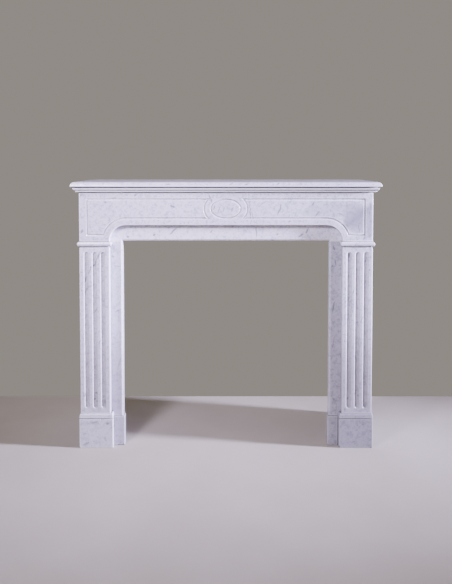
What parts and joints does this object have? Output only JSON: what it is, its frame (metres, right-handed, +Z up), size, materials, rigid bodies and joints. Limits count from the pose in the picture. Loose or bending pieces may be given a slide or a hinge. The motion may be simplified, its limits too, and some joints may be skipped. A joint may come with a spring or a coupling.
{
  "type": "fireplace mantel",
  "caption": "White marble fireplace mantel: moulded shelf, arched frieze with grooved panels and oval, fluted jambs on plinths and set-back slips framing the opening.",
  "frame": {"origin": "on the floor, under the middle of the mantel's box", "axes": "+X to the right as seen from the room, +Y towards the wall, +Z up"},
  "size_m": [1.264, 0.38, 1.103],
  "materials": {
    "shelf_marble": "honed white marble with soft grey veins",
    "frieze_marble": "honed white marble with soft grey veins",
    "jamb_marble": "honed white marble with soft grey veins",
    "slip_marble": "honed white marble with faint grey clouds",
    "plinth_marble": "honed white marble, greyer and scuffed near the floor"
  },
  "bodies": {
    "root": {"shelf": "shelf_marble", "frieze": "frieze_marble", "frieze_return_left": "frieze_marble", "frieze_return_right": "frieze_marble", "jamb_front_left": "jamb_marble", "jamb_front_right": "jamb_marble", "jamb_return_left": "jamb_marble", "jamb_return_right": "jamb_marble", "slip_lintel": "slip_marble", "slip_upright_left": "slip_marble", "slip_upright_right": "slip_marble", "slip_plinth_left": "plinth_marble", "slip_plinth_right": "plinth_marble", "plinth_front_left": "plinth_marble", "plinth_front_right": "plinth_marble", "plinth_return_left": "plinth_marble", "plinth_return_right": "plinth_marble"}
  },
  "joints": []
}
